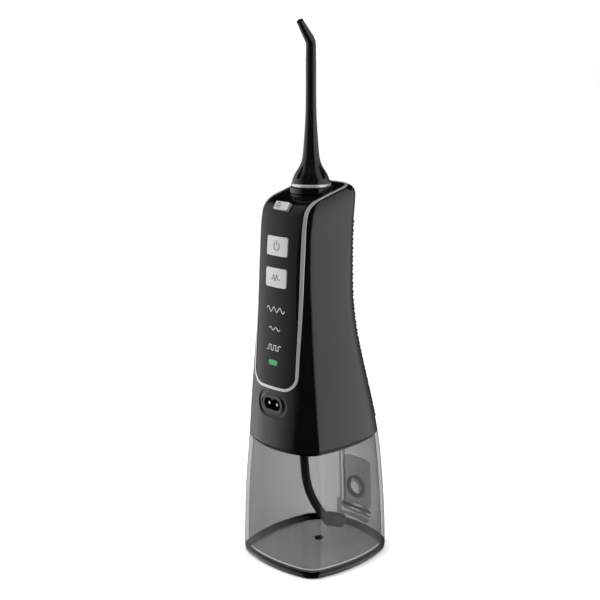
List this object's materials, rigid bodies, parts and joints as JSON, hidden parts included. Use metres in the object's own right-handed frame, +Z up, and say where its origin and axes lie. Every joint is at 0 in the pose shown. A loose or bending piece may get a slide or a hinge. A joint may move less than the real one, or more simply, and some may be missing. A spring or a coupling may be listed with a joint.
{
  "type": "water flosser",
  "caption": "Handheld cordless water flosser: gloss black handle with silver-edged control panel, smoke-clear tank with rear fill door, and a slim bent nozzle.",
  "frame": {"origin": "centre of the footprint on the table; the nozzle's turning axis stands 4.5 mm in front of it", "axes": "+Z up along the handle; -Y faces the front panel; +X to the right for a viewer who looks along +Y"},
  "size_m": [0.0672, 0.0724, 0.289],
  "materials": {
    "smoke_clear": "smoke-tinted clear moulding",
    "gloss_black": "piano-black gloss",
    "nozzle_black": "gloss moulding",
    "silver": "satin silver paint",
    "black_rubber": "matt moulded rubber",
    "grey_rubber": "soft silicone",
    "pale_ring": "pale moulded plastic",
    "green_lens": "clear green lens",
    "black_plastic": "fine spark texture",
    "inner_plastic": "natural moulded plastic",
    "steel": "bright drawn steel",
    "motor_steel": "plated steel can",
    "pin_metal": "nickel plate",
    "brass_gear": "machined brass",
    "board_green": "solder mask",
    "chip_black": "moulded package",
    "led_white": "milky lens",
    "cell_wrap": "shrink sleeve",
    "clear_tube": "translucent silicone",
    "wire_red": "silicone wire sleeve"
  },
  "bodies": {
    "tank": {"tank": "smoke_clear", "foot_ring": "black_rubber", "floor_plug": "black_rubber", "door_hinge_pin": "steel"},
    "door": {"fill_door": "smoke_clear", "door_seal": "grey_rubber"},
    "handle": {"housing": "gloss_black", "front_panel": "gloss_black", "trim_frame": "silver", "rear_grip": "black_rubber", "base_plate": "black_plastic", "base_screws": "steel", "tank_seal": "black_rubber", "hose_barb": "black_plastic", "charging_socket": "gloss_black", "socket_pins": "pin_metal", "battery_lens": "green_lens", "circuit_board": "board_green", "board_screws": "steel", "tact_switches": "chip_black", "status_leds": "led_white", "battery_cell": "cell_wrap", "battery_holder": "inner_plastic", "power_leads": "wire_red", "motor_case": "motor_steel", "gear_plate": "inner_plastic", "gear_axle": "steel", "pump_body": "inner_plastic", "pump_head": "inner_plastic", "valve_springs": "steel", "suction_tube": "clear_tube", "pressure_tube": "clear_tube", "nozzle_socket": "inner_plastic", "socket_seal": "black_rubber", "latch_spring": "steel"},
    "power_key": {"power_button": "silver"},
    "mode_key": {"mode_button": "silver"},
    "release_key": {"release_button": "silver"},
    "latch": {"nozzle_latch": "inner_plastic"},
    "dial": {"nozzle_dial": "gloss_black", "dial_seal": "black_rubber"},
    "nozzle": {"nozzle_tip": "nozzle_black", "nozzle_seal": "black_rubber", "colour_ring": "pale_ring"},
    "rotor": {"motor_rotor": "steel", "pinion_gear": "brass_gear"},
    "crank": {"drive_gear": "inner_plastic"},
    "piston": {"piston": "inner_plastic", "piston_seal": "black_rubber", "wrist_pin": "steel"},
    "rod": {"connecting_rod": "inner_plastic"},
    "inlet_flap": {"inlet_valve": "grey_rubber"},
    "outlet_flap": {"outlet_valve": "grey_rubber"},
    "hose": {"suction_hose": "black_rubber", "suction_weight": "black_plastic", "hose_filter": "steel"}
  },
  "joints": [
    {"name": "handle_lift", "type": "slide", "parent": "tank", "child": "handle", "axis": [0, 0, 1], "range_m": [0, 0.1]},
    {"name": "door_swing", "type": "hinge", "parent": "tank", "child": "door", "pos_m": [0, 0.0329, 0.0134], "axis": [-1, 0, 0], "range_deg": [0, 90]},
    {"name": "nozzle_turn", "type": "hinge", "parent": "handle", "child": "dial", "pos_m": [0, -0.0045, 0.203], "axis": [0, 0, 1], "continuous": true},
    {"name": "nozzle_lift", "type": "slide", "parent": "dial", "child": "nozzle", "axis": [0, 0, 1], "range_m": [0, 0.024]},
    {"name": "release_press", "type": "slide", "parent": "handle", "child": "release_key", "axis": [0, 0.8387, -0.5446], "range_m": [0, 0.0015]},
    {"name": "latch_slide", "type": "slide", "parent": "handle", "child": "latch", "axis": [0, 1, 0], "range_m": [0, 0.0014]},
    {"name": "power_press", "type": "slide", "parent": "handle", "child": "power_key", "axis": [0, 1, 0], "range_m": [0, 0.0006]},
    {"name": "mode_press", "type": "slide", "parent": "handle", "child": "mode_key", "axis": [0, 1, 0], "range_m": [0, 0.0006]},
    {"name": "crank_spin", "type": "hinge", "parent": "handle", "child": "crank", "pos_m": [0, -0.0155, 0.0825], "axis": [0, 0, 1], "continuous": true},
    {"name": "motor_spin", "type": "hinge", "parent": "handle", "child": "rotor", "pos_m": [0, -0.0005, 0.0825], "axis": [0, 0, 1], "continuous": true},
    {"name": "piston_stroke", "type": "slide", "parent": "handle", "child": "piston", "axis": [0, 1, 0], "range_m": [-0.003, 0.003]},
    {"name": "rod_swing", "type": "hinge", "parent": "piston", "child": "rod", "pos_m": [0, 0.00421, 0.0776], "axis": [0, 0, 1], "range_deg": [-19.5, 0]},
    {"name": "inlet_lift", "type": "slide", "parent": "handle", "child": "inlet_flap", "axis": [0, 0, 1], "range_m": [0, 0.0008]},
    {"name": "outlet_lift", "type": "slide", "parent": "handle", "child": "outlet_flap", "axis": [0, 0, 1], "range_m": [0, 0.0008]},
    {"name": "hose_swivel", "type": "hinge", "parent": "handle", "child": "hose", "pos_m": [0, -0.0098, 0.063], "axis": [0, 0, 1], "range_deg": [-30, 30]}
  ],
  "couplings": [
    {"joint": "crank_spin", "follows": "motor_spin", "ratio": -0.25},
    {"joint": "latch_slide", "follows": "release_press", "ratio": 0.84}
  ]
}
